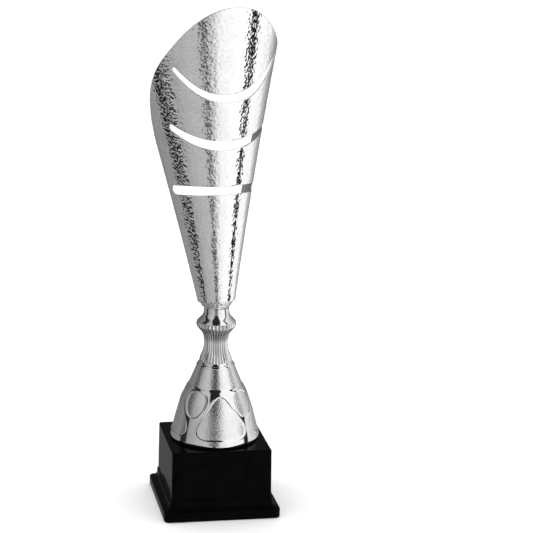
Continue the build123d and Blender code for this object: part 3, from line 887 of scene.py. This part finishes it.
def compute(operation, *values):
    """A maths node over other nodes' outputs and plain numbers."""
    node = nodes.new("ShaderNodeMath")
    node.operation = operation
    for socket, value in zip(node.inputs, values):
        if isinstance(value, (int, float)):
            socket.default_value = value
        else:
            links.new(value, socket)
    return node.outputs["Value"]


def blend(share, low, high):
    """A value that goes from low to high as share goes from 0 to 1."""
    node = nodes.new("ShaderNodeMix")
    node.data_type = "FLOAT"
    for key, value in (("Factor", share), ("A", low), ("B", high)):
        links.new(value, node.inputs[key])
    return node.outputs["Result"]


place = nodes.new("ShaderNodeTexCoord")
split = nodes.new("ShaderNodeSeparateXYZ")
links.new(place.outputs["Generated"], split.inputs["Vector"])
across, depth, upward = split.outputs["X"], split.outputs["Y"], split.outputs["Z"]
bearing = compute("ARCTAN2", across, compute("MULTIPLY", depth, -1))
bearing = compute("WRAP", compute("SUBTRACT", bearing, math.radians(camera_turn)), math.pi, -math.pi)
# Near the floor the panels are turned a little and set wider apart.
spread = compute("SUBTRACT", compute("MULTIPLY", bearing, 0.19), math.radians(9.5))
near_floor = map_range(nodes, links, upward, -0.5, -0.6, 0, 1)
bearing = compute("ADD", bearing, compute("MULTIPLY", near_floor, spread))
around = map_range(nodes, links, bearing, -math.pi, math.pi, 0, 1)
levels = {}
for tier, panels in tiers.items():
    ramp = nodes.new("ShaderNodeValToRGB")
    while len(ramp.color_ramp.elements) < len(panels):
        ramp.color_ramp.elements.new(0.5)
    for element, (degrees, level) in zip(ramp.color_ramp.elements, panels):
        element.position = degrees / 360 + 0.5
        element.color = (level, level, level, 1)
    links.new(around, ramp.inputs["Fac"])
    levels[tier] = ramp.outputs["Color"]
# A dark strip runs overhead, from the camera over the object.
outward = compute("SQRT", compute("SUBTRACT", 1, compute("MULTIPLY", upward, upward)))
aside = compute("ABSOLUTE", compute("MULTIPLY", compute("SINE", bearing), outward))
beside_strip = map_range(nodes, links, aside, 0.26, 0.32, 0.02, 1)
behind = map_range(nodes, links, compute("COSINE", bearing), -0.1, -0.3, 0, 1)
beside_strip = compute("MAXIMUM", beside_strip, behind)
high_level = compute("MULTIPLY", levels["high"], beside_strip)
clutter = noise_node(nodes, links, place.outputs["Generated"], 150, 3)
clutter = map_range(nodes, links, clutter, 0.3, 0.7, 0.8, 1.2)
above_lowest = map_range(nodes, links, upward, -0.68, -0.6, 0, 1)
above_low = map_range(nodes, links, upward, -0.3, -0.1, 0, 1)
above_middle = map_range(nodes, links, upward, 0.12, 0.3, 0, 1)
low_level = compute("MULTIPLY", blend(above_lowest, levels["lowest"], levels["low"]), clutter)
mirrored = blend(above_middle, blend(above_low, low_level, levels["middle"]), high_level)
below = map_range(nodes, links, upward, -0.86, -0.96, 1, 0.22)
mirrored = compute("MULTIPLY", mirrored, below)
# Only glossy rays see the panels. All other rays see plain white light.
path = nodes.new("ShaderNodeLightPath")
glossy = nodes["Background"]
links.new(mirrored, glossy.inputs["Color"])
plain_light = nodes.new("ShaderNodeBackground")
plain_light.inputs["Color"].default_value = (1, 1, 1, 1)
plain_light.inputs["Strength"].default_value = 1.3
mix = nodes.new("ShaderNodeMixShader")
links.new(path.outputs["Is Glossy Ray"], mix.inputs["Fac"])
links.new(plain_light.outputs["Background"], mix.inputs[1])
links.new(glossy.outputs["Background"], mix.inputs[2])
links.new(mix.outputs["Shader"], nodes["World Output"].inputs["Surface"])

camera_data = bpy.data.cameras.new("camera")
camera = bpy.data.objects.new("camera", camera_data)
bpy.context.scene.collection.objects.link(camera)
bpy.context.scene.camera = camera
camera_distance, aim_height = 1400, 190
turn, rise, roll = math.radians(camera_turn), math.radians(13.9), math.radians(0.98)
back = Vector((math.sin(turn) * math.cos(rise), -math.cos(turn) * math.cos(rise), math.sin(rise)))
right = Vector((0, 0, 1)).cross(back).normalized()
up = back.cross(right)
right, up = right * math.cos(roll) + up * math.sin(roll), up * math.cos(roll) - right * math.sin(roll)
camera.matrix_world = Matrix((right, up, back)).transposed().to_4x4()
camera.location = (Vector((0, 0, aim_height)) + back * camera_distance) * MM
camera_data.sensor_width = 36
camera_data.lens = 127.63
camera_data.shift_x = 0.0921
camera_data.shift_y = -0.0146
camera_data.clip_start, camera_data.clip_end = 0.01, 100

bpy.context.scene.view_settings.view_transform = "Standard"
